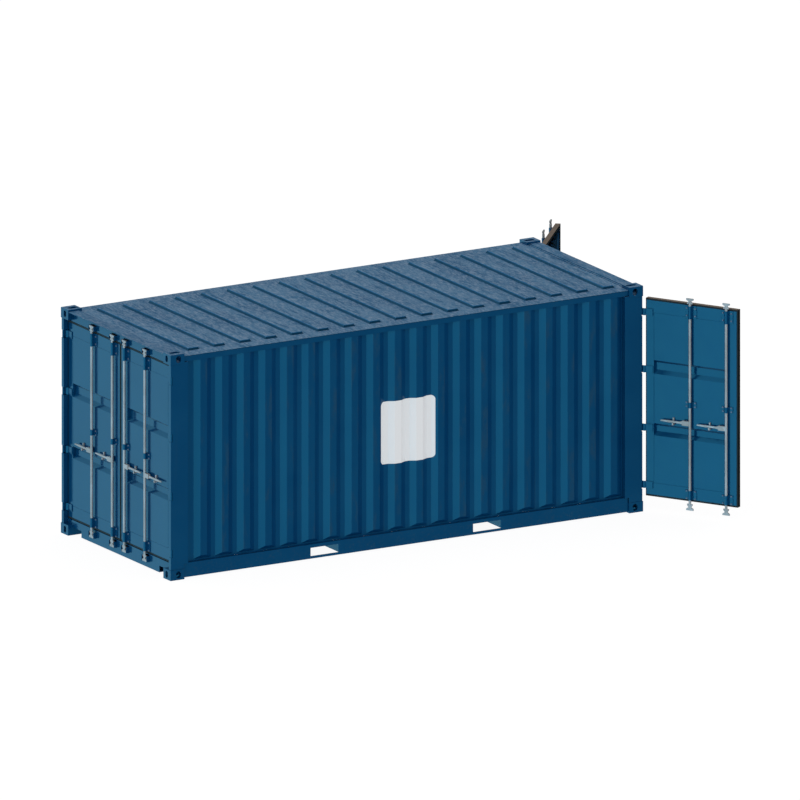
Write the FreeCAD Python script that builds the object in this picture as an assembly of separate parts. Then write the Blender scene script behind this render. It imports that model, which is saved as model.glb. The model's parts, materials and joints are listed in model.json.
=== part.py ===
"""Twenty-foot tunnel container with a pair of doors at each end.

The frame of the part: +X along the length towards the end whose doors stand open, +Z up,
z = 0 on the undersides of the bottom corner castings, origin at the middle of their four slots.
An end is modelled once, at +X and beside the -Y wall, and mirrored to the other three places.
"""
import FreeCAD
import Part
import math
import os

Vector = FreeCAD.Vector

# ---- driving dimensions, mm and degrees ----
length = 6058.0
width = 2438.0
height = 2591.0

# corner castings
casting_length = 178.0
casting_width = 162.0
casting_height = 118.0
casting_wall = 20.0
slot_plate = 28.5
slot_length = 124.0
slot_width = 63.5
slot_from_end = 102.5
slot_from_side = 89.5
end_hole_width = 51.0
side_hole_width = 63.5
face_hole_height = 79.5

# corner posts
post_inset = 6.0
post_inner_face = 52.0
post_depth = 228.0
post_plate = 6.0
post_front_bar = 62.0

# side rails
rail_inset = 24.0
bottom_rail_low = 12.5
bottom_rail_high = 175.0
bottom_rail_plate = 6.0
bottom_rail_flange = 90.0
top_rail_drop = 38.0
top_rail_height = 63.0
top_rail_width = 60.0
top_rail_plate = 4.0

# forklift pockets
pocket_spacing = 2083.0
pocket_width = 355.0
pocket_low = 43.0
pocket_high = 136.0
pocket_plate = 6.0

# side walls
wall_inset = 31.0
ridge_depth = 36.0
sheet = 4.0
wall_ridges = 20
wall_first_flat = 104.0
wall_last_flat = 17.0
ridge_base = 221.0
ridge_face = 83.0
wall_ridge_low = 22.0
wall_ridge_slope = 40.0

# roof
roof_first_ridge_from_end = 414.0
roof_last_ridge_from_end = 323.0
roof_ridges = 17
roof_ridge_width = 148.0
roof_ridge_top = 124.0
roof_ridge_height = 26.0
roof_ridge_from_side = 205.0
roof_edge = 8.0

# door frame: headers and sills
frame_recess = 59.0
frame_plate = 8.0
frame_depth = 92.0
opening_low = 172.0
opening_below_top = 139.0
sill_low = 13.5
sill_notch_height = 90.0
sill_notch_width = 193.0
header_plate_drop = 21.0
header_plate = 8.0
header_plate_depth = 137.0
header_plate_recess = 3.0

# floor and cross members
floor_thickness = 28.0
floor_boards = 5
floor_joint = 3.0
cross_member_height = 122.0
cross_member_flange = 45.0
cross_member_plate = 5.0
cross_members_from_end = (479.0, 829.0, 1179.0, 1529.0)
cross_members_from_middle = (190.0, 560.0)

# door leaves
door_gap = 5.0
middle_gap = 10.0
leaf_hinge_gap = 6.0
leaf_recess = 62.0
leaf_steel_depth = 50.0
leaf_depth = 60.0
seal_hinge_side = 8.0
seal_free_side = 14.0
seal_ends = 20.0
seal_face_recess = 2.0
seal_lap = 14.0
seal_lap_depth = 10.0
leaf_plate = 4.0
hinge_stile = 94.0
free_stile = 129.0
leaf_top_member = 138.0
leaf_bottom_member = 136.0
seam_width = 4.0
seam_depth = 2.0
troughs = ((1587.0, 1744.0), (880.0, 1020.0))
trough_depth = 38.0
trough_top_slope = 30.0
trough_bottom_slope = 45.0

# hinges
lower_hinges = (307.0, 964.0, 1634.0)
top_hinge_below_top = 301.0
hinge_blade = 80.0
hinge_strap = 10.0
pin_radius = 7.0
pin_clearance = 0.06
knuckle_radius = 11.0
strap_offset = 23.0
strap_reach = 150.0
strap_post_gap = 2.0
strap_crank = 14.0
neck_width = 12.0
notch_margin = 6.0
notch_clearance = 5.0
notch_skin = 2.0
knuckle_gap = 0.5

# lock rods
outer_rod_from_hinge_edge = 571.0
inner_rod_from_free_edge = 129.0
rod_radius = 15.0
rod_standoff = 30.0
rod_clearance = 0.5
cam_width = 88.0
cam_thickness = 16.0
cam_neck = 66.0
cam_collar = 13.0
cam_waist = 30.0
cam_waist_place = 0.5
cam_bar = 18.0
top_cam_below_top = 76.0
top_cam_height = 62.0
bottom_cam_low = 82.0
bottom_cam_high = 155.0
bracket_wall = 4.5
bracket_plate = 7.0
bracket_half_width = 72.0
top_bracket_below_top = 163.0
top_bracket_height = 148.0
middle_bracket = (1258.0, 1323.0)
bottom_bracket = (200.0, 308.0)
rod_in_cam = 20.0

# keepers
keeper_lug = 8.0
keeper_gap = 8.0
keeper_reach = 38.0
keeper_trim = 5.0
keeper_window_margin = 8.0
moving_clearance = 5.0

# handles
handle_height = 1075.0
hub_length = 96.0
hub_height = 52.0
hub_cheek = 6.0
handle_pivot = 72.0
handle_root = 35.0
handle_root_height = 30.0
handle_shoulder = 110.0
handle_neck_place = 136.0
handle_neck = 20.0
handle_grip_place = 238.0
handle_grip_full = 258.0
handle_grip = 24.0
handle_tip_taper = 12.0
handle_tip_height = 14.0
handle_tip = 372.0
handle_thickness = 14.0
handle_clearance = 1.0
handle_pin_radius = 5.0
catch_place = 216.0
catch_half_height = 42.0
catch_width = 16.0
catch_plate = 18.0
catch_lip_gap = 6.0
catch_lip_reach = 38.0

# how far each open leaf stands from shut
near_leaf_open = 148.0
far_leaf_open = 140.0

# ---- worked-out places ----
half_length = length / 2
half_width = width / 2
top_rail_high = height - top_rail_drop
top_rail_low = top_rail_high - top_rail_height
opening_high = height - opening_below_top
header_plate_high = height - header_plate_drop
header_plate_low = header_plate_high - header_plate
wall_end = half_length - post_depth
wall_pitch = (2 * wall_end - wall_first_flat - wall_last_flat - ridge_base) / (wall_ridges - 1)
hinge_heights = lower_hinges + (height - top_hinge_below_top,)
notch_height = hinge_blade + 2 * notch_margin
top_cam_high = height - top_cam_below_top
top_cam_low = top_cam_high - top_cam_height
top_bracket_high = height - top_bracket_below_top
rod_brackets = ((top_bracket_high - top_bracket_height, top_bracket_high), middle_bracket, bottom_bracket)
pin_inset = post_inset + knuckle_radius + 2.0
notch_depth = pin_inset + strap_offset + hinge_strap / 2 + notch_clearance
leaf_hinge_edge = post_inner_face + leaf_hinge_gap
leaf_free_edge = half_width - middle_gap / 2
rod_places = (outer_rod_from_hinge_edge,
              leaf_free_edge - inner_rod_from_free_edge - leaf_hinge_edge)
leaf_low = opening_low + door_gap
leaf_high = opening_high - door_gap
steel_hinge_edge = leaf_hinge_edge + seal_hinge_side
steel_free_edge = leaf_free_edge - seal_free_side
steel_low = leaf_low + seal_ends
steel_high = leaf_high - seal_ends
rod_u = -leaf_recess + rod_standoff
wall_in = wall_inset + ridge_depth + sheet
floor_low = bottom_rail_high
floor_high = bottom_rail_high + floor_thickness


def block(x0, x1, y0, y1, z0, z1):
    """A box between two corners."""
    return Part.makeBox(x1 - x0, y1 - y0, z1 - z0, Vector(x0, y0, z0))


def near(u0, u1, v0, v1, z0, z1):
    """A box in end coordinates: u outwards from the +X end plane, v inwards from the -Y side plane."""
    return block(half_length + u0, half_length + u1, -half_width + v0, -half_width + v1, z0, z1)


def near_rod(u, v, z0, z1, radius):
    """An upright cylinder in end coordinates."""
    base = Vector(half_length + u, -half_width + v, z0)
    return Part.makeCylinder(radius, z1 - z0, base)


def prism(points, direction):
    """A flat outline swept in a straight line."""
    wire = Part.makePolygon(points + [points[0]])
    return Part.Face(wire).extrude(direction)


def hull_between(low, high):
    """A ruled solid between two outlines of as many points."""
    wires = [Part.makePolygon(points + [points[0]]) for points in (low, high)]
    return Part.makeLoft(wires, True, True)


def stadium(length_over_all, across, depth, centre, along, normal):
    """A slot-shaped plug: `along` is the long way, `normal` the way it is swept."""
    radius = across / 2
    straight = length_over_all - across
    side = normal.cross(along)
    start = centre - along * (straight / 2) - side * radius
    core = Part.Face(Part.makePolygon([
        start, start + along * straight, start + along * straight + side * across,
        start + side * across, start])).extrude(normal * depth)
    ends = [Part.makeCylinder(radius, depth, centre + along * (sign * straight / 2), normal)
            for sign in (-1, 1)]
    return core.fuse(ends).removeSplitter()


def mirrored(shape, flip_x, flip_y):
    """The same piece at another corner."""
    if flip_x:
        shape = shape.mirror(Vector(0, 0, 0), Vector(1, 0, 0))
    if flip_y:
        shape = shape.mirror(Vector(0, 0, 0), Vector(0, 1, 0))
    return shape


def four_corners(shape):
    """A piece at each of the four corners."""
    return [mirrored(shape, flip_x, flip_y) for flip_x in (False, True) for flip_y in (False, True)]


def both_ends(shape):
    """A piece at each end."""
    return [shape, mirrored(shape, True, False)]


def both_sides(shape):
    """A piece on each side."""
    return [shape, mirrored(shape, False, True)]


def write(name, shapes):
    """One node's file, holding its separate solids."""
    solids = [solid for shape in shapes for solid in shape.Solids]
    Part.makeCompound(solids).exportStep("parts/" + name + ".step")


# ---- corner castings and posts ----
def casting(is_top):
    """A hollow corner fitting at the near +X corner: a slot up or down, ovals in the end and side."""
    low = height - casting_height if is_top else 0.0
    high = low + casting_height
    body = near(-casting_length, 0, 0, casting_width, low, high)
    hollow_low = low + (casting_wall if is_top else slot_plate)
    hollow_high = high - (slot_plate if is_top else casting_wall)
    hollow = near(-casting_length + casting_wall, -casting_wall, casting_wall,
                  casting_width - casting_wall, hollow_low, hollow_high)
    middle_x = half_length - slot_from_end
    middle_y = -half_width + slot_from_side
    middle_z = (low + high) / 2
    slot = stadium(slot_length, slot_width, casting_height / 2,
                   Vector(middle_x, middle_y, middle_z if is_top else low),
                   Vector(1, 0, 0), Vector(0, 0, 1))
    end_hole = stadium(face_hole_height, end_hole_width, casting_length / 2,
                       Vector(half_length - casting_length / 2, middle_y, middle_z),
                       Vector(0, 0, 1), Vector(1, 0, 0))
    side_hole = stadium(face_hole_height, side_hole_width, casting_width / 2,
                        Vector(middle_x, -half_width, middle_z),
                        Vector(0, 0, 1), Vector(0, 1, 0))
    return body.cut([hollow, slot, end_hole, side_hole])


def hinge_notches():
    """The pockets in a corner post where the hinges turn, each with some outer skin left beside it."""
    skin_end = pin_inset + neck_width / 2 + notch_clearance
    pockets = []
    for z in hinge_heights:
        low = z - notch_height / 2
        high = z + notch_height / 2
        pockets += [near(-notch_depth, 0, post_inset + notch_skin, post_inner_face + 1, low, high),
                    near(-skin_end, 0, 0, post_inset + notch_skin, low, high)]
    return pockets


def corner_post():
    """A box-section post: a solid bar in front, a plate tube behind that closes on the wall sheet."""
    front = near(-post_front_bar, -post_inset, post_inset, post_inner_face,
                 casting_height, height - casting_height)
    back_low = bottom_rail_high
    back_high = top_rail_low
    tube = near(-post_depth, -post_front_bar, post_inset, post_inner_face,
                casting_height, height - casting_height)
    strip_low = near(-post_depth, -casting_length, post_inset, post_inner_face,
                     casting_height, back_low)
    strip_high = near(-post_depth, -casting_length, post_inset, post_inner_face,
                      height - casting_height, back_high)
    hollow = near(-post_depth + post_plate, -post_front_bar, post_inset + post_plate,
                  post_inner_face - post_plate, casting_height, back_high)
    flange = near(-post_depth, -post_depth + post_plate, post_inset, wall_in, back_low, back_high)
    body = front.fuse([tube, strip_high]).cut([strip_low, hollow]).fuse(flange)
    return body.cut(hinge_notches()).removeSplitter()


def hinge_pins():
    """The four fixed pins of one post."""
    u = -pin_inset
    return [near_rod(u, pin_inset, z - notch_height / 2, z + notch_height / 2, pin_radius)
            for z in hinge_heights]


# ---- rails, pockets, cross members, floor ----
def bottom_rail():
    """The -Y bottom side rail: a channel with the two pocket openings."""
    end = half_length - casting_length
    y0 = -half_width + rail_inset
    web = block(-end, end, y0, y0 + bottom_rail_plate, bottom_rail_low, bottom_rail_high)
    lower = block(-end, end, y0, -half_width + bottom_rail_flange,
                  bottom_rail_low, bottom_rail_low + bottom_rail_plate)
    upper = block(-end, end, y0, -half_width + wall_in,
                  bottom_rail_high - bottom_rail_plate, bottom_rail_high)
    openings = [block(x - pocket_width / 2, x + pocket_width / 2, y0 - 1, y0 + bottom_rail_plate + 1,
                      pocket_low, pocket_high) for x in (-pocket_spacing / 2, pocket_spacing / 2)]
    return web.fuse([lower, upper]).cut(openings).removeSplitter()


def top_rail():
    """The -Y top side rail, a square tube between the castings."""
    end = half_length - casting_length
    y0 = -half_width + rail_inset
    y1 = y0 + top_rail_width
    body = block(-end, end, y0, y1, top_rail_low, top_rail_high)
    hollow = block(-end, end, y0 + top_rail_plate, y1 - top_rail_plate,
                   top_rail_low + top_rail_plate, top_rail_high - top_rail_plate)
    return body.cut(hollow)


def forklift_pocket(x):
    """A tunnel from rail to rail, open underneath between its end straps."""
    y1 = half_width - rail_inset - bottom_rail_plate
    half = pocket_width / 2
    outer = block(x - half - pocket_plate, x + half + pocket_plate, -y1, y1,
                  pocket_low, pocket_high + pocket_plate)
    inner = block(x - half, x + half, -y1, y1, pocket_low, pocket_high)
    return outer.cut(inner)


def cross_member(x):
    """A C channel under the floor, between the bottom rails."""
    y1 = half_width - rail_inset - bottom_rail_plate
    low = bottom_rail_high - cross_member_height
    plate = cross_member_plate
    body = block(x, x + cross_member_flange, -y1, y1, low, bottom_rail_high)
    hollow = block(x + plate, x + cross_member_flange, -y1, y1, low + plate, bottom_rail_high - plate)
    rail_flange = half_width - wall_in
    seat = block(x, x + cross_member_flange, -half_width, -rail_flange,
                 bottom_rail_high - bottom_rail_plate, bottom_rail_high)
    return body.cut([hollow] + both_sides(seat))


def floor():
    """Plywood sheets laid across, with a fine joint between them."""
    end = half_length - frame_recess - frame_plate - frame_depth
    pitch = 2 * end / floor_boards
    y1 = half_width - wall_in
    boards = []
    for index in range(floor_boards):
        x0 = -end + index * pitch + floor_joint / 2
        x1 = -end + (index + 1) * pitch - floor_joint / 2
        boards.append(block(x0, x1, -y1, y1, floor_low, floor_high))
    return boards


# ---- ridged sheets ----
def wall_ridge(x, shift):
    """One pressed ridge standing out from the -Y wall, closed at its foot and open at the top."""
    base = -half_width + wall_inset + ridge_depth + shift
    face = -half_width + wall_inset + shift
    half_base = ridge_base / 2
    half_face = ridge_face / 2
    low = bottom_rail_high + wall_ridge_low
    high = top_rail_low
    outline_base = [Vector(x - half_base, base, low), Vector(x + half_base, base, low),
                    Vector(x + half_base, base, high), Vector(x - half_base, base, high)]
    low += wall_ridge_slope
    outline_face = [Vector(x - half_face, face, low), Vector(x + half_face, face, low),
                    Vector(x + half_face, face, high), Vector(x - half_face, face, high)]
    return hull_between(outline_base, outline_face)


def side_wall():
    """The -Y wall: one sheet between the posts, pressed into upright ridges."""
    y0 = -half_width + wall_inset + ridge_depth
    flat = block(-wall_end, wall_end, y0, y0 + sheet, bottom_rail_high, top_rail_low)
    first = -wall_end + wall_first_flat + ridge_base / 2
    places = [first + index * wall_pitch for index in range(wall_ridges)]
    outside = [wall_ridge(x, 0.0) for x in places]
    inside = [wall_ridge(x, sheet) for x in places]
    return flat.fuse(outside).cut(inside)


def roof_ridge(x, drop):
    """One pressed ridge across the roof, closed at both ends."""
    low = top_rail_high + sheet - drop
    high = low + roof_ridge_height
    half_base = roof_ridge_width / 2
    half_top = roof_ridge_top / 2
    slope = half_base - half_top
    y1 = half_width - roof_ridge_from_side
    outline_low = [Vector(x - half_base, -y1, low), Vector(x + half_base, -y1, low),
                   Vector(x + half_base, y1, low), Vector(x - half_base, y1, low)]
    y1 -= slope
    outline_high = [Vector(x - half_top, -y1, high), Vector(x + half_top, -y1, high),
                    Vector(x + half_top, y1, high), Vector(x - half_top, y1, high)]
    return hull_between(outline_low, outline_high)


def roof_panel():
    """One sheet over the top rails, with ridges pressed up across it."""
    end = half_length - frame_recess - frame_plate - frame_depth
    y1 = half_width - rail_inset + roof_edge
    flat = block(-end, end, -y1, y1, top_rail_high, top_rail_high + sheet)
    castings = four_corners(near(-casting_length, 0, 0, casting_width,
                                 top_rail_high - 1, top_rail_high + sheet + 1))
    first = -half_length + roof_first_ridge_from_end
    pitch = (half_length - roof_last_ridge_from_end - first) / (roof_ridges - 1)
    places = [first + index * pitch for index in range(roof_ridges)]
    outside = [roof_ridge(x, 0.0) for x in places]
    inside = [roof_ridge(x, sheet) for x in places]
    return flat.cut(castings).fuse(outside).cut(inside)


# ---- door frame ----
def rod_v(place):
    """How far a lock rod stands in from the side plane."""
    return leaf_hinge_edge + place


def frame_windows(low, high):
    """The windows in a header or sill that let the cams turn."""
    half = cam_width / 2 + keeper_gap
    cam_reach = math.hypot(cam_width / 2, cam_thickness / 2)
    windows = []
    for place in rod_places:
        window = near(rod_u - cam_reach - moving_clearance, -frame_recess + 1, rod_v(place) - half,
                      rod_v(place) + half, low, high)
        windows += [window, mirrored(window, False, True)]
    return windows


def box_beam(low, high, v_end):
    """A box beam across the +X end, behind the door-frame face."""
    u0 = -frame_recess - frame_plate - frame_depth
    y1 = half_width - v_end
    body = block(half_length + u0, half_length - frame_recess, -y1, y1, low, high)
    hollow = block(half_length + u0 + frame_plate, half_length - frame_recess - frame_plate,
                   -y1, y1, low + frame_plate, high - frame_plate)
    return body.cut(hollow)


def header():
    """The beam over the doors, with the plate on top that reaches out over the lock gear."""
    beam = box_beam(opening_high, header_plate_low, post_inner_face)
    y1 = half_width - casting_width
    top = block(half_length - header_plate_depth, half_length - header_plate_recess,
                -y1, y1, header_plate_low, header_plate_high)
    corner = near(-casting_length, 0, 0, casting_width, height - casting_height, height)
    corners = [corner, mirrored(corner, False, True)]
    windows = frame_windows(top_cam_low - keeper_window_margin, top_cam_high + keeper_window_margin)
    return beam.fuse(top).cut(corners + windows)


def sill():
    """The beam under the doors, cut away beside the bottom castings."""
    beam = box_beam(sill_low, opening_low, post_inner_face)
    corner = near(-casting_length, 0, 0, casting_width, 0, casting_height)
    notch = near(-casting_length, 0, 0, casting_width + sill_notch_width, 0, sill_notch_height)
    corners = [corner, mirrored(corner, False, True), notch, mirrored(notch, False, True)]
    windows = frame_windows(bottom_cam_low - keeper_window_margin, bottom_cam_high + keeper_window_margin)
    return beam.cut(corners + windows)


def keepers():
    """The lugs on header and sill, either side of each cam."""
    inner = cam_width / 2 + keeper_gap
    lugs = []
    for low, high in ((top_cam_low + keeper_trim, top_cam_high),
                      (bottom_cam_low, bottom_cam_high - keeper_trim)):
        for place in rod_places:
            for side in (-1, 1):
                v0 = rod_v(place) + (inner if side > 0 else -inner - keeper_lug)
                lug = near(-frame_recess, -frame_recess + keeper_reach, v0, v0 + keeper_lug, low, high)
                lugs += [lug, mirrored(lug, False, True)]
    return lugs


# ---- a door leaf, shut, at the near +X corner ----
def leaf_frame():
    """Two stiles of square tube joined by a channel at the top and the bottom."""
    u0 = -leaf_recess - leaf_steel_depth
    u1 = -leaf_recess
    plate = leaf_plate
    inner_hinge = steel_hinge_edge + hinge_stile
    inner_free = steel_free_edge - free_stile
    pieces = []
    for v0, v1 in ((steel_hinge_edge, inner_hinge), (inner_free, steel_free_edge)):
        tube = near(u0, u1, v0, v1, steel_low, steel_high)
        hollow = near(u0 + plate, u1 - plate, v0 + plate, v1 - plate, steel_low, steel_high)
        pieces.append(tube.cut(hollow))
    for z0, z1 in ((steel_low, steel_low + leaf_bottom_member),
                   (steel_high - leaf_top_member, steel_high)):
        channel = near(u0, u1, inner_hinge, inner_free, z0, z1)
        hollow = near(u0, u1 - plate, inner_hinge, inner_free, z0 + plate, z1 - plate)
        pieces.append(channel.cut(hollow))
    return pieces[0].fuse(pieces[1:]).removeSplitter()


def leaf_panel():
    """The pressed sheet between the members, with two troughs across it."""
    low = steel_low + leaf_bottom_member
    high = steel_high - leaf_top_member
    face = -leaf_recess
    outline = [(face, low)]
    for trough_low, trough_high in sorted(troughs):
        outline += [(face, trough_low), (face - trough_depth, trough_low + trough_bottom_slope),
                    (face - trough_depth, trough_high - trough_top_slope), (face, trough_high)]
    outline.append((face, high))
    back = [(u - sheet, z) for u, z in reversed(outline)]
    v0 = steel_hinge_edge + hinge_stile
    v1 = steel_free_edge - free_stile
    points = [Vector(half_length + u, -half_width + v0, z) for u, z in outline + back]
    body = prism(points, Vector(0, v1 - v0, 0))
    rim = near(face - seam_depth, face, v0, v1, low, high)
    middle = near(face - seam_depth, face, v0 + seam_width, v1 - seam_width,
                  low + seam_width, high - seam_width)
    return body.cut(rim.cut(middle))


def leaf_seal():
    """The rubber seal round the leaf's edge, lapping its back."""
    u_front = -leaf_recess - seal_face_recess
    u_back = -leaf_recess - leaf_depth
    u_steel = -leaf_recess - leaf_steel_depth
    outer = near(u_back, u_front, leaf_hinge_edge, leaf_free_edge, leaf_low, leaf_high)
    inner = near(u_back, u_front, steel_hinge_edge, steel_free_edge, steel_low, steel_high)
    ring = outer.cut(inner)
    lap_outer = near(u_steel - seal_lap_depth, u_steel, steel_hinge_edge, steel_free_edge,
                     steel_low, steel_high)
    lap_inner = near(u_steel - seal_lap_depth, u_steel, steel_hinge_edge + seal_lap,
                     steel_free_edge - seal_lap, steel_low + seal_lap, steel_high - seal_lap)
    return ring.fuse(lap_outer.cut(lap_inner)).removeSplitter()


def hinge(z):
    """A knuckle round its pin, and the cranked strap that reaches over the leaf."""
    low = z - hinge_blade / 2
    pin_u = -pin_inset
    outer = pin_u - strap_offset + hinge_strap / 2
    inner = pin_u - strap_offset - hinge_strap / 2
    face = -leaf_recess
    bend = post_inner_face + strap_post_gap
    foot = pin_inset - neck_width / 2
    crank = bend + strap_crank
    outline = [(outer, foot), (outer, bend), (face + hinge_strap, crank),
               (face + hinge_strap, strap_reach), (face, strap_reach), (face, crank),
               (inner, bend), (inner, foot)]
    strap = prism([Vector(half_length + u, -half_width + v, low) for u, v in outline],
                  Vector(0, 0, hinge_blade))
    neck = near(inner, pin_u, foot, foot + neck_width, low, low + hinge_blade)
    knuckle_half = notch_height / 2 - knuckle_gap
    knuckle = near_rod(pin_u, pin_inset, z - knuckle_half, z + knuckle_half, knuckle_radius)
    bore = near_rod(pin_u, pin_inset, z - notch_height, z + notch_height, pin_radius + pin_clearance)
    return strap.fuse([neck, knuckle]).cut(bore).removeSplitter()


def rod_bracket(place, low, high):
    """A plate on the leaf with a hump that the lock rod turns in."""
    v = rod_v(place)
    radius = rod_radius + rod_clearance
    plate = near(-leaf_recess, -leaf_recess + bracket_plate, v - bracket_half_width,
                 v + bracket_half_width, low, high)
    outer = radius + bracket_wall
    body = near(-leaf_recess, rod_u, v - outer, v + outer, low, high)
    hump = near_rod(rod_u, v, low, high, outer)
    bore = near_rod(rod_u, v, low - 1, high + 1, radius)
    return plate.fuse([body, hump]).cut(bore).removeSplitter()


def handle_catch(place):
    """The cross-shaped catch behind a handle, with a lip for it to rest over."""
    v = rod_v(place) - catch_place
    z = handle_height
    half = catch_width / 2
    back = near(-leaf_recess, -leaf_recess + catch_plate, v - half, v + half,
                z - catch_half_height, z + catch_half_height)
    lip_high = z - handle_neck / 2 - catch_lip_gap
    lip = near(-leaf_recess, -leaf_recess + catch_lip_reach, v - half, v + half,
               z - catch_half_height, lip_high)
    return back.fuse(lip).removeSplitter()


def cam(v, low, high, wide_end_up):
    """A cam on the end of a rod: a collar, a waist and a wide bar."""
    neck = cam_neck / 2
    wide = cam_width / 2
    waist = cam_waist / 2
    waist_rise = (high - low) * cam_waist_place
    outline = [(-neck, 0), (neck, 0), (neck, cam_collar), (waist, waist_rise), (wide, high - low - cam_bar),
               (wide, high - low), (-wide, high - low), (-wide, high - low - cam_bar),
               (-waist, waist_rise), (-neck, cam_collar)]
    points = [Vector(half_length + rod_u - cam_thickness / 2, -half_width + v + across,
                     low + rise if wide_end_up else high - rise) for across, rise in outline]
    return prism(points, Vector(cam_thickness, 0, 0))


def lock_rod(place):
    """A rod with a cam at each end and the fork that holds its handle."""
    v = rod_v(place)
    rod = near_rod(rod_u, v, bottom_cam_high - rod_in_cam, top_cam_low + rod_in_cam, rod_radius)
    top = cam(v, top_cam_low, top_cam_high, True)
    bottom = cam(v, bottom_cam_low, bottom_cam_high, False)
    half = handle_thickness / 2 + handle_clearance
    z0 = handle_height - hub_height / 2
    z1 = handle_height + hub_height / 2
    cheeks = [near(rod_u + half, rod_u + half + hub_cheek, v - hub_length, v, z0, z1),
              near(rod_u - half - hub_cheek, rod_u - half, v - hub_length, v, z0, z1)]
    pin = handle_pin(place, handle_pin_radius)
    return rod.fuse([top, bottom] + cheeks + [pin]).removeSplitter()


def handle_pin(place, radius):
    """The level pin through the fork that the handle lifts on."""
    reach = handle_thickness / 2 + handle_clearance + hub_cheek
    base = Vector(half_length + rod_u - reach, -half_width + rod_v(place) - handle_pivot, handle_height)
    return Part.makeCylinder(radius, 2 * reach, base, Vector(1, 0, 0))


def handle(place):
    """A flat lever from the fork, past the catch, to a tapered tip."""
    v = rod_v(place)
    upper = [(-handle_pivot + handle_root, handle_root_height / 2),
             (-handle_shoulder, handle_root_height / 2), (-handle_neck_place, handle_neck / 2),
             (-handle_grip_place, handle_neck / 2), (-handle_grip_full, handle_grip / 2),
             (-handle_tip + handle_tip_taper, handle_tip_height / 2), (-handle_tip, 0)]
    outline = upper + [(across, -rise) for across, rise in reversed(upper[:-1])]
    points = [Vector(half_length + rod_u - handle_thickness / 2, -half_width + v + across,
                     handle_height + rise) for across, rise in outline]
    body = prism(points, Vector(handle_thickness, 0, 0))
    return body.cut(handle_pin(place, handle_pin_radius + pin_clearance))


def swung(shape, angle, flip_x, flip_y):
    """A shut leaf's piece, moved to its own corner and swung open by an angle."""
    shape = mirrored(shape, flip_x, flip_y).copy()
    x = (half_length - pin_inset) * (-1 if flip_x else 1)
    y = (half_width - pin_inset) * (1 if flip_y else -1)
    turn = angle if flip_x != flip_y else -angle
    shape.rotate(Vector(x, y, 0), Vector(0, 0, 1), turn)
    return shape


def write_leaf(name, angle, flip_x, flip_y):
    """All the nodes of one leaf."""
    def placed(shapes):
        return [swung(shape, angle, flip_x, flip_y) for shape in shapes]

    brackets = [rod_bracket(place, low, high) for place in rod_places for low, high in rod_brackets]
    write(name + "_door_frame", placed([leaf_frame()]))
    write(name + "_door_panel", placed([leaf_panel()]))
    write(name + "_door_seal", placed([leaf_seal()]))
    write(name + "_door_hinges", placed([hinge(z) for z in hinge_heights]))
    catches = [handle_catch(place) for place in rod_places]
    write(name + "_rod_brackets", placed(brackets))
    write(name + "_handle_catches", placed(catches))
    for which, place in zip(("outer", "inner"), rod_places):
        write(name + "_" + which + "_lock_rod", placed([lock_rod(place)]))
        write(name + "_" + which + "_handle", placed([handle(place)]))


os.makedirs("parts", exist_ok=True)
write("bottom_corner_castings", four_corners(casting(False)))
write("top_corner_castings", four_corners(casting(True)))
write("corner_posts", four_corners(corner_post()))
write("hinge_pins", [pin for post_pin in hinge_pins() for pin in four_corners(post_pin)])
write("bottom_side_rails", both_sides(bottom_rail()))
write("top_side_rails", both_sides(top_rail()))
write("forklift_pockets", [forklift_pocket(-pocket_spacing / 2), forklift_pocket(pocket_spacing / 2)])
places = [half_length - reach for reach in cross_members_from_end] + list(cross_members_from_middle)
write("cross_members", [cross_member(side * x - cross_member_flange / 2) for x in places for side in (-1, 1)])
write("floor", floor())
write("side_walls", both_sides(side_wall()))
write("roof_panel", [roof_panel()])
write("door_headers", both_ends(header()))
write("door_sills", both_ends(sill()))
write("cam_keepers", [lug for keeper in keepers() for lug in both_ends(keeper)])
write_leaf("front_left", 0.0, True, False)
write_leaf("front_right", 0.0, True, True)
write_leaf("rear_left", near_leaf_open, False, False)
write_leaf("rear_right", far_leaf_open, False, True)
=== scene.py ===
import json
import math
import bpy
from mathutils import Matrix, Vector

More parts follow.
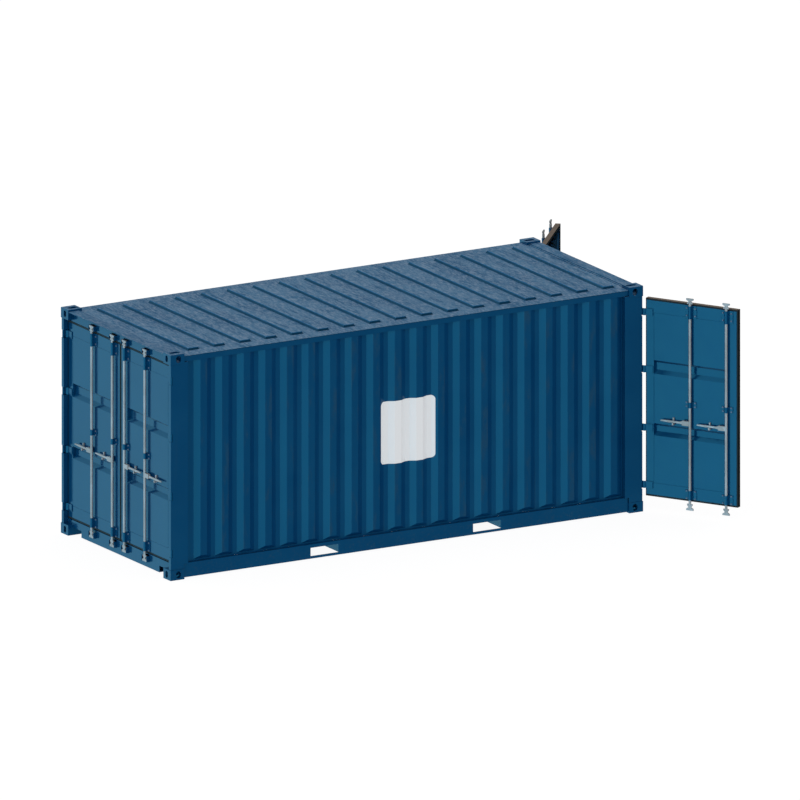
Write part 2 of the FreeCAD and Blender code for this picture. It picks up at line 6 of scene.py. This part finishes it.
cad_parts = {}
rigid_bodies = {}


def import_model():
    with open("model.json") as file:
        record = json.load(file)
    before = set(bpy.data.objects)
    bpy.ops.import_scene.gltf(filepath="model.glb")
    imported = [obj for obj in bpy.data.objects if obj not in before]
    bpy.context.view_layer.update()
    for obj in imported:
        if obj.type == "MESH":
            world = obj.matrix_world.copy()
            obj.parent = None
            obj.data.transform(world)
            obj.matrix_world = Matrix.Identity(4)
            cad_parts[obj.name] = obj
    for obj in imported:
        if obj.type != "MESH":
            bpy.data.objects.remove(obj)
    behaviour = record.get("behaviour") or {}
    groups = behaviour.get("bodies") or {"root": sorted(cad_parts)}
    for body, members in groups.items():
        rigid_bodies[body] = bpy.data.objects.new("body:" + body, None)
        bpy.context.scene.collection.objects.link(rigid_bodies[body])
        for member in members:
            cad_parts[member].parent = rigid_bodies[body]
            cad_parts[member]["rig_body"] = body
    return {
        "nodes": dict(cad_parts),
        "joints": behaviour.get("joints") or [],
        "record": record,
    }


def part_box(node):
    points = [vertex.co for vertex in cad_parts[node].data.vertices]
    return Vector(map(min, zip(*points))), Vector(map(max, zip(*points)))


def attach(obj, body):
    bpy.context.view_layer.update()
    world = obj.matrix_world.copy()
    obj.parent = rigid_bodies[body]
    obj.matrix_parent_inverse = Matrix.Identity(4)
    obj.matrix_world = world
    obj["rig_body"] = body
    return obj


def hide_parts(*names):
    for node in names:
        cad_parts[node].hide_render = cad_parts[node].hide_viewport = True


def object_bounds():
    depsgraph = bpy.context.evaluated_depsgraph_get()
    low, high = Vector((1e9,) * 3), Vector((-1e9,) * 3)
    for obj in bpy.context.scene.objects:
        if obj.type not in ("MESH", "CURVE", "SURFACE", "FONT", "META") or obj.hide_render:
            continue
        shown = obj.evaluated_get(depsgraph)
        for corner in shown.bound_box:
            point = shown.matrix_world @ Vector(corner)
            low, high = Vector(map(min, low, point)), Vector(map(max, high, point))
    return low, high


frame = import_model()
cadBox = [list(corner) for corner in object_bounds()]
nodes = frame["nodes"]
leaves = ("front_left", "front_right", "rear_left", "rear_right")
print("frame loaded,", len(nodes), "nodes")


# selection and small helpers
def pickOnly(*objects):
    bpy.ops.object.select_all(action="DESELECT")
    for item in objects:
        item.select_set(True)
    bpy.context.view_layer.objects.active = objects[0]


def editFaces(item, test):  # leaves the mesh in edit mode with the faces that pass selected
    pickOnly(item)
    bpy.ops.object.mode_set(mode="EDIT")
    bpy.ops.mesh.select_mode(type="FACE")
    bpy.ops.mesh.select_all(action="DESELECT")
    bpy.ops.object.mode_set(mode="OBJECT")
    for face in item.data.polygons:
        face.select = test(face)
    bpy.ops.object.mode_set(mode="EDIT")


def endEdit():
    bpy.ops.object.mode_set(mode="OBJECT")


def applyPlace(item):
    pickOnly(item)
    bpy.ops.object.transform_apply(location=True, rotation=True, scale=True)


def copyOf(item):
    twin = item.copy()
    twin.data = item.data.copy()
    bpy.context.scene.collection.objects.link(twin)
    return twin


def joined(items, name):
    pickOnly(*items)
    bpy.ops.object.join()
    result = bpy.context.object
    result.name = name
    result.data.name = name
    return result


# node trees
def put(tree, kind, sockets=None, **settings):  # a node whose inputs get values or other nodes' outputs
    node = tree.nodes.new(kind)
    for key, value in settings.items():
        setattr(node, key, value)
    for key, value in (sockets or {}).items():
        if isinstance(value, bpy.types.NodeSocket):
            tree.links.new(value, node.inputs[key])
        else:
            node.inputs[key].default_value = value
    return node


def noise(tree, where, scale, detail=4.0, rough=0.55, distortion=0.0):
    sockets = {"Vector": where, "Scale": scale, "Detail": detail, "Roughness": rough,
               "Distortion": distortion}
    return put(tree, "ShaderNodeTexNoise", sockets).outputs["Fac"]


def stretched(tree, where, scale):
    return put(tree, "ShaderNodeMapping", {"Vector": where, "Scale": scale}).outputs["Vector"]


def ramp(tree, value, low, high, toLow=0.0, toHigh=1.0):
    sockets = {"Value": value, "From Min": low, "From Max": high, "To Min": toLow, "To Max": toHigh}
    return put(tree, "ShaderNodeMapRange", sockets, interpolation_type="SMOOTHSTEP").outputs["Result"]


def maths(tree, operation, first, second=0.0):
    return put(tree, "ShaderNodeMath", {0: first, 1: second}, operation=operation).outputs["Value"]


def blend(tree, amount, first, second):  # the numbers are the factor and the two colours of a Mix node
    return put(tree, "ShaderNodeMix", {0: amount, 6: first, 7: second}, data_type="RGBA").outputs[2]


def newMaterial(name, **values):
    material = bpy.data.materials.new(name)
    material.use_nodes = True
    tree = material.node_tree
    tree.nodes.clear()
    shader = put(tree, "ShaderNodeBsdfPrincipled", values)
    put(tree, "ShaderNodeOutputMaterial", {"Surface": shader.outputs["BSDF"]})
    where = put(tree, "ShaderNodeTexCoord").outputs["Object"]
    return material, tree, shader, where


def axes(tree, where):
    return put(tree, "ShaderNodeSeparateXYZ", {"Vector": where}).outputs


def facingUp(tree):  # 1 on a level top, 0 on an upright face, by the flat face under the rounding
    return axes(tree, put(tree, "ShaderNodeNewGeometry").outputs["True Normal"])["Z"]


def bump(tree, shader, height, strength, distance):
    node = put(tree, "ShaderNodeBump", {"Height": height, "Strength": strength, "Distance": distance})
    tree.links.new(node.outputs["Normal"], shader.inputs["Normal"])


# the weathered paint on top: chalky on the flats, with painted shade on the slopes of the ridges and along
# their feet, and a painted highlight on the top edge of each slope
roof = {
    "chalk": (0.215, 0.275, 0.380, 1.0),
    "bleached": (0.060, 0.150, 0.265, 1.0),
    "scuff": (0.008, 0.062, 0.150, 1.0),
    # deep darkens the scratches and also paints the shade along the feet of the ridges
    "deep": (0.0006, 0.036, 0.105, 1.0),
    # foot is painted shade on the lower slopes, lip a painted highlight on their top edges
    "foot": (0.0002, 0.016, 0.050, 1.0),
    "lip": (0.008, 0.110, 0.270, 1.0),
    "cloudScale": (2.6, 1.3, 2.6),  # how often a pattern repeats in a metre along each axis
    "grainScale": (52.0, 11.0, 52.0),
    "streakScale": (15.0, 2.2, 15.0),
    "footWidth": 0.010,
    "lipDrop": (0.008, 0.003),  # the painted highlight on the lip of a slope lies between these depths under the crown
    "slopeFacing": (0.93, 0.84),
    "rough": (0.65, 0.45),
    "bumpStrength": 0.15,
    "bumpDepth": 0.002,
}


# the blue paint that covers the steel, dusty low down and rubbed in places
paint = {
    "fresh": (0.0004, 0.039, 0.124, 1.0),
    "faded": (0.0015, 0.047, 0.136, 1.0),
    "rubbed": (0.011, 0.046, 0.108, 1.0),
    "dust": (0.040, 0.060, 0.080, 1.0),
    "sheen": (0.22, 0.85, 1.0, 1.0),
    "gloss": 0.14,
    "glossSpread": (-0.03, 0.06),
    "dustHeight": 0.35,
    "weatherHeight": 2.45,
    "weatherBand": 0.02,
    "weatherShare": 0.8,
    "dullShare": 0.4,
    "fadeScale": 1.3,
    "runScale": (14.0, 14.0, 0.9),
    "speckScale": 38.0,
    "glossScale": 6.0,
    "peelScale": 420.0,
    "peelShare": 0.05,
    "dentScale": 2.4,
    "bumpStrength": 0.12,
    "bumpDepth": 0.003,
}


def weathered(tree, where, colour):  # bleached streaks and scratches of the paint that faces the sky
    clouds = noise(tree, stretched(tree, where, roof["cloudScale"]), 1.0, 7.0, 0.68)
    grain = noise(tree, stretched(tree, where, roof["grainScale"]), 1.0, 7.0, 0.8, 0.3)
    streaks = noise(tree, stretched(tree, where, roof["streakScale"]), 1.0, 7.0, 0.75, 0.5)
    colour = blend(tree, ramp(tree, clouds, 0.38, 0.58, 0.55, 1.0), colour, roof["bleached"])
    colour = blend(tree, ramp(tree, grain, 0.44, 0.62), colour, roof["chalk"])
    colour = blend(tree, ramp(tree, streaks, 0.47, 0.36, 0.0, 0.8), colour, roof["scuff"])
    colour = blend(tree, ramp(tree, grain, 0.42, 0.34, 0.0, 0.7), colour, roof["deep"])
    return colour, maths(tree, "ADD", grain, streaks)


def paintTree(name):
    material, tree, shader, where = newMaterial(name)
    shader.inputs["Specular Tint"].default_value = paint["sheen"]
    place = axes(tree, where)
    broad = noise(tree, where, paint["fadeScale"], 3.0)
    colour = blend(tree, ramp(tree, broad, 0.35, 0.7), paint["fresh"], paint["faded"])
    runs = noise(tree, stretched(tree, where, paint["runScale"]), 1.0, 5.0)
    colour = blend(tree, ramp(tree, runs, 0.56, 0.85, 0.0, 0.35), colour, paint["rubbed"])
    low = ramp(tree, place["Z"], 0.0, paint["dustHeight"], 1.0, 0.0)
    speck = noise(tree, where, paint["speckScale"], 6.0, 0.7)
    dustAndTopHighlightShare = maths(tree, "MULTIPLY", low, ramp(tree, speck, 0.5, 0.75, 0.0, 0.4))
    colour = blend(tree, dustAndTopHighlightShare, colour, paint["dust"])
    topHeight = paint["weatherHeight"]
    onTop = maths(tree, "MULTIPLY", ramp(tree, facingUp(tree), 0.8, 0.97),
                  ramp(tree, place["Z"], topHeight, topHeight + paint["weatherBand"]))
    sunlit = maths(tree, "MULTIPLY", onTop, paint["weatherShare"])
    colour = blend(tree, sunlit, colour, weathered(tree, where, colour)[0])
    shiniest, dullest = (paint["gloss"] + change for change in paint["glossSpread"])
    rough = ramp(tree, noise(tree, where, paint["glossScale"], 5.0), 0.3, 0.75, shiniest, dullest)
    dulled = maths(tree, "MULTIPLY", maths(tree, "ADD", dustAndTopHighlightShare, onTop), paint["dullShare"])
    tree.links.new(maths(tree, "ADD", rough, dulled), shader.inputs["Roughness"])
    peel = noise(tree, where, paint["peelScale"], 2.0)
    dents = noise(tree, where, paint["dentScale"], 2.0)
    height = maths(tree, "ADD", maths(tree, "MULTIPLY", peel, paint["peelShare"]), dents)
    bump(tree, shader, height, paint["bumpStrength"], paint["bumpDepth"])
    return material, tree, shader, where, place, colour


def paintMaterial():
    material, tree, shader, where, place, colour = paintTree("bluePaint")
    tree.links.new(colour, shader.inputs["Base Color"])
    return material


# the side walls: the same paint, rubbed on the crests of the ridges, with a bare white panel
wall = {
    "crestDepth": 0.006,
    "speck": (0.012, 0.026, 0.055, 1.0),
    "white": (0.88, 0.89, 0.90, 1.0),
    "panelMiddle": (0.042, 1.319),
    "panelSize": (0.70, 0.72),
    "panelCorner": 0.05,
    "panelEdge": 0.002,  # width over which the panel's edge fades
    "panelSide": (-1.0, -0.9),  # only the -Y wall has the panel, and only on faces that look outwards
    "panelFacing": (-0.2, -0.05),
    "patchScale": (7.0, 7.0, 2.2),
    "speckScale": 55.0,
}


def wallMaterial():
    material, tree, shader, where, place, colour = paintTree("wallPaint")
    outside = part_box("side_walls")[1][1]
    reach = maths(tree, "ABSOLUTE", place["Y"])
    crest = ramp(tree, reach, outside - wall["crestDepth"], outside)
    patches = noise(tree, stretched(tree, where, wall["patchScale"]), 1.0, 8.0, 0.65)
    rubbed = maths(tree, "MULTIPLY", crest, ramp(tree, patches, 0.5, 0.66, 0.0, 0.8))
    colour = blend(tree, rubbed, colour, paint["rubbed"])
    specks = noise(tree, where, wall["speckScale"], 6.0, 0.8)
    worn = maths(tree, "MULTIPLY", rubbed, ramp(tree, specks, 0.56, 0.66))
    colour = blend(tree, worn, colour, wall["speck"])
    away = 0.0  # distance beyond the panel's straight middle, which rounds its corners
    for axis, centre, size in zip("XZ", wall["panelMiddle"], wall["panelSize"]):
        offset = maths(tree, "ABSOLUTE", maths(tree, "SUBTRACT", place[axis], centre))
        beyond = maths(tree, "MAXIMUM", maths(tree, "SUBTRACT", offset, size / 2 - wall["panelCorner"]), 0.0)
        away = maths(tree, "ADD", away, maths(tree, "MULTIPLY", beyond, beyond))
    away = maths(tree, "SQRT", away)
    panel = ramp(tree, away, wall["panelCorner"] - wall["panelEdge"], wall["panelCorner"], 1.0, 0.0)
    facing = axes(tree, put(tree, "ShaderNodeNewGeometry").outputs["Normal"])["Y"]
    panel = maths(tree, "MULTIPLY", panel, ramp(tree, facing, *wall["panelFacing"], 1.0, 0.0))
    panel = maths(tree, "MULTIPLY", panel, ramp(tree, place["Y"], *wall["panelSide"], 1.0, 0.0))
    colour = blend(tree, panel, colour, wall["white"])
    tree.links.new(colour, shader.inputs["Base Color"])
    return material


# first ridge's middle, spacing, half the width and half the length at the foot, and the crown's height
def ridgeRow():
    corners = [vertex.co for vertex in nodes["roof_panel"].data.vertices]
    crown = max(corner.z for corner in corners)
    crestCorners = [corner for corner in corners if corner.z > crown - 0.0005]
    crests = sorted({round(corner.x, 4) for corner in crestCorners})
    middles = [(low + high) / 2 for low, high in zip(crests[::2], crests[1::2])]
    footCorners = [corner for corner in corners if corner.x < crests[0] - 0.002 and abs(corner.y) < 1.1
                   and corner.z < crown - 0.015]
    slope = crests[0] - max(corner.x for corner in footCorners)
    reach = max(corner.y for corner in crestCorners)
    return middles[0], middles[1] - middles[0], (crests[1] - crests[0]) / 2 + slope, reach + slope, crown


def roofMaterial():
    material, tree, shader, where = newMaterial("roofPaint")
    shader.inputs["Specular Tint"].default_value = paint["sheen"]
    place = axes(tree, where)
    first, pitch, halfFoot, reach, crown = ridgeRow()
    colour, grain = weathered(tree, where, paint["fresh"])
    # painted shade in a narrow line around the foot of each ridge
    along = maths(tree, "PINGPONG", maths(tree, "SUBTRACT", place["X"], first), pitch / 2)
    beside = maths(tree, "MAXIMUM", maths(tree, "SUBTRACT", along, halfFoot),
                   maths(tree, "SUBTRACT", maths(tree, "ABSOLUTE", place["Y"]), reach))
    foot = maths(tree, "MULTIPLY", ramp(tree, beside, roof["footWidth"] * 0.5, roof["footWidth"], 1.0, 0.0),
                 ramp(tree, beside, -0.003, -0.001))
    colour = blend(tree, foot, colour, roof["deep"])
    # painted shade on the slopes of the ridges, turning to a painted highlight just under the crown
    slope = ramp(tree, facingUp(tree), *roof["slopeFacing"])
    lipLow, lipHigh = (crown - drop for drop in roof["lipDrop"])
    flankShadeAndHighlight = blend(tree, ramp(tree, place["Z"], lipLow, lipHigh), roof["foot"], roof["lip"])
    colour = blend(tree, slope, colour, flankShadeAndHighlight)
    tree.links.new(colour, shader.inputs["Base Color"])
    tree.links.new(ramp(tree, grain, 0.7, 1.3, *roof["rough"]), shader.inputs["Roughness"])
    bump(tree, shader, grain, roof["bumpStrength"], roof["bumpDepth"])
    return material


# zinc-coated rods and forgings
zinc = {
    "bright": (0.40, 0.41, 0.42, 1.0),
    "dull": (0.30, 0.29, 0.28, 1.0),
    "stain": (0.15, 0.105, 0.075, 1.0),
    "metal": 0.2,
    "cellScale": 160.0,
    "cloudScale": (9.0, 9.0, 3.0),
    "stainScale": (30.0, 30.0, 2.0),
    "dullBy": 0.12,
    "bumpStrength": 0.1,
    "bumpDepth": 0.0005,
}


def zincMaterial(name, shine, painted=0.0):  # painted is how much of the blue paint covers it
    material, tree, shader, where = newMaterial(name, Metallic=zinc["metal"])
    spangle = put(tree, "ShaderNodeTexVoronoi", {"Vector": where, "Scale": zinc["cellScale"]})
    cells = spangle.outputs["Distance"]
    clouds = noise(tree, stretched(tree, where, zinc["cloudScale"]), 1.0, 6.0, 0.6)
    colour = blend(tree, ramp(tree, clouds, 0.35, 0.65), zinc["dull"], zinc["bright"])
    colour = blend(tree, ramp(tree, cells, 0.1, 0.7, 0.0, 0.15), colour, zinc["dull"])
    stains = noise(tree, stretched(tree, where, zinc["stainScale"]), 1.0, 5.0)
    colour = blend(tree, ramp(tree, stains, 0.60, 0.8, 0.0, 0.4), colour, zinc["stain"])
    colour = blend(tree, ramp(tree, clouds, 0.3, 0.7, painted, painted * 0.9), colour, paint["faded"])
    tree.links.new(colour, shader.inputs["Base Color"])
    tree.links.new(ramp(tree, clouds, 0.3, 0.7, shine + zinc["dullBy"], shine), shader.inputs["Roughness"])
    bump(tree, shader, maths(tree, "ADD", cells, clouds), zinc["bumpStrength"], zinc["bumpDepth"])
    return material


# rubber of the door seals, with a painted tan highlight where it faces up
rubber = {
    "black": (0.0045, 0.0045, 0.0050, 1.0),
    "grey": (0.013, 0.012, 0.012, 1.0),
    "dust": (0.170, 0.115, 0.080, 1.0),
    "shine": 0.25,
    "cloudScale": 25.0,
    "skinScale": 260.0,
    "bumpStrength": 0.2,
    "bumpDepth": 0.001,
}


def rubberMaterial():
    material, tree, shader, where = newMaterial("sealRubber")
    shader.inputs["Specular IOR Level"].default_value = rubber["shine"]
    clouds = noise(tree, where, rubber["cloudScale"], 6.0, 0.65)
    colour = blend(tree, ramp(tree, clouds, 0.35, 0.7), rubber["black"], rubber["grey"])
    # painted tan highlight on faces that look up
    dustAndTopHighlightShare = maths(tree, "MULTIPLY", ramp(tree, facingUp(tree), 0.5, 0.95),
                  ramp(tree, clouds, 0.2, 0.5, 0.6, 1.0))
    colour = blend(tree, dustAndTopHighlightShare, colour, rubber["dust"])
    tree.links.new(colour, shader.inputs["Base Color"])
    tree.links.new(ramp(tree, clouds, 0.3, 0.7, 0.55, 0.8), shader.inputs["Roughness"])
    skin = noise(tree, where, rubber["skinScale"], 3.0)
    bump(tree, shader, skin, rubber["bumpStrength"], rubber["bumpDepth"])
    return material


# varnished plywood of the floor
plywood = {
    "light": (0.31, 0.165, 0.075, 1.0),
    "dark": (0.135, 0.062, 0.028, 1.0),
    "scrape": (0.42, 0.30, 0.18, 1.0),
    "grainScale": (3.0, 60.0, 60.0),
    "ringScale": (0.6, 9.0, 9.0),
    "ringBend": 7.0,
    "ringShare": 0.35,
    "scrapeScale": (1.2, 26.0, 1.0),
    "bumpStrength": 0.25,
    "bumpDepth": 0.001,
}


def plywoodMaterial():
    material, tree, shader, where = newMaterial("floorPlywood")
    grain = noise(tree, stretched(tree, where, plywood["grainScale"]), 1.0, 6.0, 0.6, 0.6)
    bands = {"Vector": stretched(tree, where, plywood["ringScale"]), "Scale": 1.0,
             "Distortion": plywood["ringBend"], "Detail": 3.0}
    rings = put(tree, "ShaderNodeTexWave", bands, bands_direction="Y").outputs["Fac"]
    colour = blend(tree, ramp(tree, grain, 0.3, 0.7), plywood["dark"], plywood["light"])
    colour = blend(tree, maths(tree, "MULTIPLY", rings, plywood["ringShare"]), colour, plywood["dark"])
    scrapes = noise(tree, stretched(tree, where, plywood["scrapeScale"]), 1.0, 5.0)
    colour = blend(tree, ramp(tree, scrapes, 0.64, 0.72, 0.0, 0.6), colour, plywood["scrape"])
    tree.links.new(colour, shader.inputs["Base Color"])
    tree.links.new(ramp(tree, scrapes, 0.5, 0.7, 0.35, 0.7), shader.inputs["Roughness"])
    bump(tree, shader, grain, plywood["bumpStrength"], plywood["bumpDepth"])
    return material


bluePaint = paintMaterial()
wallPaint = wallMaterial()
roofPaint = roofMaterial()
rodZinc = zincMaterial("rodZinc", 0.34)
forgedZinc = zincMaterial("forgedZinc", 0.26)
boltPaint = zincMaterial("boltPaint", 0.26, 0.8)
sealRubber = rubberMaterial()
floorPlywood = plywoodMaterial()
finishes = {"body_paint": bluePaint, "weathered_roof_paint": roofPaint, "galvanised_rod": rodZinc,
            "galvanised_forging": forgedZinc, "seal_rubber": sealRubber, "floor_plywood": floorPlywood}
slotOf = {part["node"]: part["material_slot"] for part in frame["record"]["subparts"]}
for name, item in nodes.items():
    item.data.materials.clear()
    item.data.materials.append(wallPaint if name == "side_walls" else finishes[slotOf[name]])
print("materials made")


# steel pieces with their edges and bends rounded, each in place of its plain solid
rounding = {  # width of the rounding in metres, and its segments
    "bottom_corner_castings": (0.005, 3), "top_corner_castings": (0.005, 3), "corner_posts": (0.003, 2),
    "bottom_side_rails": (0.0025, 2), "top_side_rails": (0.0035, 3), "side_walls": (0.0035, 3),
    "roof_panel": (0.003, 2), "door_headers": (0.0025, 2), "door_sills": (0.0025, 2),
    "forklift_pockets": (0.0022, 2), "cam_keepers": (0.0018, 2), "floor": (0.0015, 2),
}
leafRounding = {"door_frame": (0.0022, 2), "door_panel": (0.0016, 2), "door_hinges": (0.002, 2),
                "rod_brackets": (0.0015, 2), "handle_catches": (0.002, 2), "outer_handle": (0.003, 3),
                "inner_handle": (0.003, 3), "outer_lock_rod": (0.0015, 2), "inner_lock_rod": (0.0015, 2)}
for leaf in leaves:
    rounding.update({leaf + "_" + piece: sizes for piece, sizes in leafRounding.items()})
finish = {  # angles in degrees, distances in metres
    "mergeWithin": 0.00002,
    "flatWithin": 0.5,
    "roundFrom": 9,
    "sharpFrom": 32,
    "evenWeight": 90,
}


def camel(name):
    first, *rest = name.split("_")
    return first + "".join(word.capitalize() for word in rest)


def roundedCopy(name, width, segments):
    source = nodes[name]
    piece = copyOf(source)
    piece.name = camel(name)
    for key in list(piece.keys()):
        del piece[key]
    piece.parent = None
    pickOnly(piece)
    bpy.ops.object.mode_set(mode="EDIT")
    bpy.ops.mesh.select_all(action="SELECT")
    bpy.ops.mesh.remove_doubles(threshold=finish["mergeWithin"])
    bpy.ops.mesh.dissolve_limited(angle_limit=math.radians(finish["flatWithin"]))
    endEdit()
    rounds = piece.modifiers.new("rounds", "BEVEL")
    rounds.width = width
    rounds.segments = segments
    rounds.limit_method = "ANGLE"
    rounds.angle_limit = math.radians(finish["roundFrom"])
    rounds.use_clamp_overlap = True
    rounds.harden_normals = False
    bpy.ops.object.modifier_apply(modifier=rounds.name)
    pickOnly(piece)
    bpy.ops.object.shade_smooth_by_angle(angle=math.radians(finish["sharpFrom"]))
    evenly = piece.modifiers.new("evenly", "WEIGHTED_NORMAL")
    evenly.keep_sharp = True
    evenly.weight = finish["evenWeight"]
    bpy.ops.object.modifier_apply(modifier=evenly.name)
    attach(piece, source["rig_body"])
    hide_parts(name)


for name, sizes in rounding.items():
    roundedCopy(name, *sizes)
print("edges rounded on", len(rounding), "pieces")


# places on a leaf: everything is made on the shut front left leaf and carried to the others
joints = {joint["name"]: joint for joint in frame["joints"]}


def leafMatrix(leaf):
    flip = Matrix.Diagonal((1 if leaf.startswith("front") else -1, 1 if leaf.endswith("left") else -1, 1, 1))
    joint = joints[leaf + "_door_hinge"]
    pivot = Vector(joint["pos_m"])
    turn = Matrix.Rotation(-math.radians(joint["range_deg"][1]), 4, Vector(joint["axis"]))
    return Matrix.Translation(pivot) @ turn @ Matrix.Translation(-pivot) @ flip


def carryToLeaves(piece, name):
    for leaf in leaves:
        twin = copyOf(piece)
        twin.name = camel(leaf + "_" + name)
        twin.data.transform(leafMatrix(leaf))
        pickOnly(twin)
        bpy.ops.object.mode_set(mode="EDIT")
        bpy.ops.mesh.select_all(action="SELECT")
        bpy.ops.mesh.normals_make_consistent(inside=False)
        endEdit()
        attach(twin, leaf + "_door")
    bpy.data.objects.remove(piece)


def looseBoxes(name):  # the lowest and highest corner of each separate solid of a node
    mesh = nodes[name].data
    spots = [tuple(round(value, 5) for value in vertex.co) for vertex in mesh.vertices]
    chief = {spot: spot for spot in spots}

    def chiefOf(spot):
        while chief[spot] != spot:
            spot = chief[spot]
        return spot

    for edge in mesh.edges:
        start, end = (chiefOf(spots[index]) for index in edge.vertices)
        if start != end:
            chief[start] = end
    solids = {}
    for spot in chief:
        solids.setdefault(chiefOf(spot), []).append(spot)
    return [(Vector(map(min, zip(*solid))), Vector(map(max, zip(*solid)))) for solid in solids.values()]


# bolts that hold the rod brackets, four to each
bolt = {
    "across": 0.016,
    "head": 0.006,
    "headRim": 0.0016,
    "headCrown": 0.0012,
    "headFlat": 0.003,
    "washer": 0.011,
    "washerThick": 0.0015,
    "washerRim": 0.0008,
    "washerCrown": 0.0005,
    "plateThick": 0.007,
    "acrossPlate": 0.053,  # from a bracket's middle to its bolts
    "upTall": 0.043,
    "upShort": 0.022,
    "tallFrom": 0.0946,
}


def makeBolt():
    bpy.ops.mesh.primitive_cylinder_add(vertices=16, radius=bolt["washer"], depth=bolt["washerThick"],
                                        location=(0, 0, bolt["washerThick"] / 2))
    washer = bpy.context.object
    editFaces(washer, lambda face: face.normal.z > 0.9)
    bpy.ops.mesh.inset(thickness=bolt["washerRim"])
    bpy.ops.transform.translate(value=(0, 0, bolt["washerCrown"]))
    endEdit()
    bpy.ops.object.select_all(action="DESELECT")
    bpy.ops.mesh.primitive_cylinder_add(vertices=6, radius=bolt["across"] / math.sqrt(3), depth=bolt["head"],
                                        location=(0, 0, bolt["washerThick"] + bolt["head"] / 2))
    head = bpy.context.object
    editFaces(head, lambda face: face.normal.z > 0.9)
    bpy.ops.mesh.inset(thickness=bolt["headRim"])
    bpy.ops.transform.translate(value=(0, 0, bolt["headCrown"]))
    bpy.ops.mesh.inset(thickness=bolt["headFlat"])
    endEdit()
    whole = joined([washer, head], "boltMaster")
    applyPlace(whole)
    return whole


def bracketBolts():
    master = makeBolt()
    outward = Matrix.Rotation(-math.pi / 2, 4, "Y")
    copies = []
    plateFace = min(low.x for low, high in looseBoxes("front_left_door_frame")) - bolt["plateThick"]
    for low, high in looseBoxes("front_left_rod_brackets"):
        middleY, middleZ = (low.y + high.y) / 2, (low.z + high.z) / 2
        reachZ = bolt["upTall"] if high.z - low.z > bolt["tallFrom"] else bolt["upShort"]
        for y in (middleY - bolt["acrossPlate"], middleY + bolt["acrossPlate"]):
            for z in (middleZ - reachZ, middleZ + reachZ):
                twin = copyOf(master)
                twin.data.transform(Matrix.Translation((plateFace, y, z)) @ outward)
                copies.append(twin)
    bpy.data.objects.remove(master)
    bolts = joined(copies, "bracketBoltsMaster")
    bolts.data.materials.append(boltPaint)
    carryToLeaves(bolts, "bracket_bolts")


bracketBolts()
print("bracket bolts placed")


# the pale floor and the soft light of the world, with a cooler light that only reflections see
stageLook = {
    "floorSize": 160,
    "floorRough": 0.9,
    "floor": (0.12, 0.12, 0.12, 1.0),
    "floorGlow": 0.93,
    "soft": (0.80, 0.80, 0.81),
    "gloss": (0.95, 2.1, 2.75),
    "glossAzimuth": 190.0,
    "glossFalloff": 1.5,
}

bpy.ops.object.select_all(action="DESELECT")
bpy.ops.mesh.primitive_plane_add(size=stageLook["floorSize"], location=(0, 0, 0))
ground = bpy.context.object
ground.name = "ground"
ground.visible_glossy = False
ground.visible_diffuse = False
groundMaterial, _, groundShader, _ = newMaterial("ground", Roughness=stageLook["floorRough"])
groundShader.inputs["Base Color"].default_value = stageLook["floor"]
groundShader.inputs["Specular IOR Level"].default_value = 0.0
groundShader.inputs["Emission Color"].default_value = (1.0, 1.0, 1.0, 1.0)
groundShader.inputs["Emission Strength"].default_value = stageLook["floorGlow"]
ground.data.materials.append(groundMaterial)

world = bpy.data.worlds.new("studio")
bpy.context.scene.world = world
world.use_nodes = True
tree = world.node_tree
tree.nodes.clear()
direction = put(tree, "ShaderNodeTexCoord").outputs["Generated"]
glossAngle = math.radians(stageLook["glossAzimuth"])
glossFrom = (math.cos(glossAngle), math.sin(glossAngle), 0.0)
towards = put(tree, "ShaderNodeVectorMath", {0: direction, 1: glossFrom}, operation="DOT_PRODUCT")
spread = {"Value": towards.outputs["Value"], "From Min": -1.0, "From Max": 1.0}
share = put(tree, "ShaderNodeMapRange", spread).outputs["Result"]
share = maths(tree, "POWER", share, stageLook["glossFalloff"])
sweep = blend(tree, share, (0.0, 0.0, 0.0, 1.0), (*stageLook["gloss"], 1.0))
glossy = put(tree, "ShaderNodeLightPath").outputs["Is Glossy Ray"]
light = blend(tree, glossy, (*stageLook["soft"], 1.0), sweep)
glow = put(tree, "ShaderNodeBackground", {"Color": light, "Strength": 1.0})
put(tree, "ShaderNodeOutputWorld", {"Surface": glow.outputs["Background"]})

# camera: a parallel view from the front left, a little above
view = {
    "azimuth": -30.0,
    "elevation": 14.83,
    "width": 8.882,
    "right": 0.533,
    "up": 0.1016,
    "away": 22.0,
    "clip": 200.0,
}
turn = math.radians(view["azimuth"])
tilt = math.radians(view["elevation"])
forward = Vector((-math.sin(turn) * math.cos(tilt), math.cos(turn) * math.cos(tilt), -math.sin(tilt)))
right = Vector((math.cos(turn), math.sin(turn), 0.0))
up = right.cross(forward)
middle = Vector((0.0, 0.0, cadBox[1][2] / 2)) + right * view["right"] + up * view["up"]
lens = bpy.data.cameras.new("camera")
lens.type = "ORTHO"
lens.ortho_scale = view["width"]
lens.clip_end = view["clip"]
camera = bpy.data.objects.new("camera", lens)
bpy.context.scene.collection.objects.link(camera)
camera.location = middle - forward * view["away"]
camera.rotation_euler = forward.to_track_quat("-Z", "Y").to_euler()
bpy.context.scene.camera = camera
bpy.context.scene.view_settings.view_transform = "Standard"
print("stage and camera set")
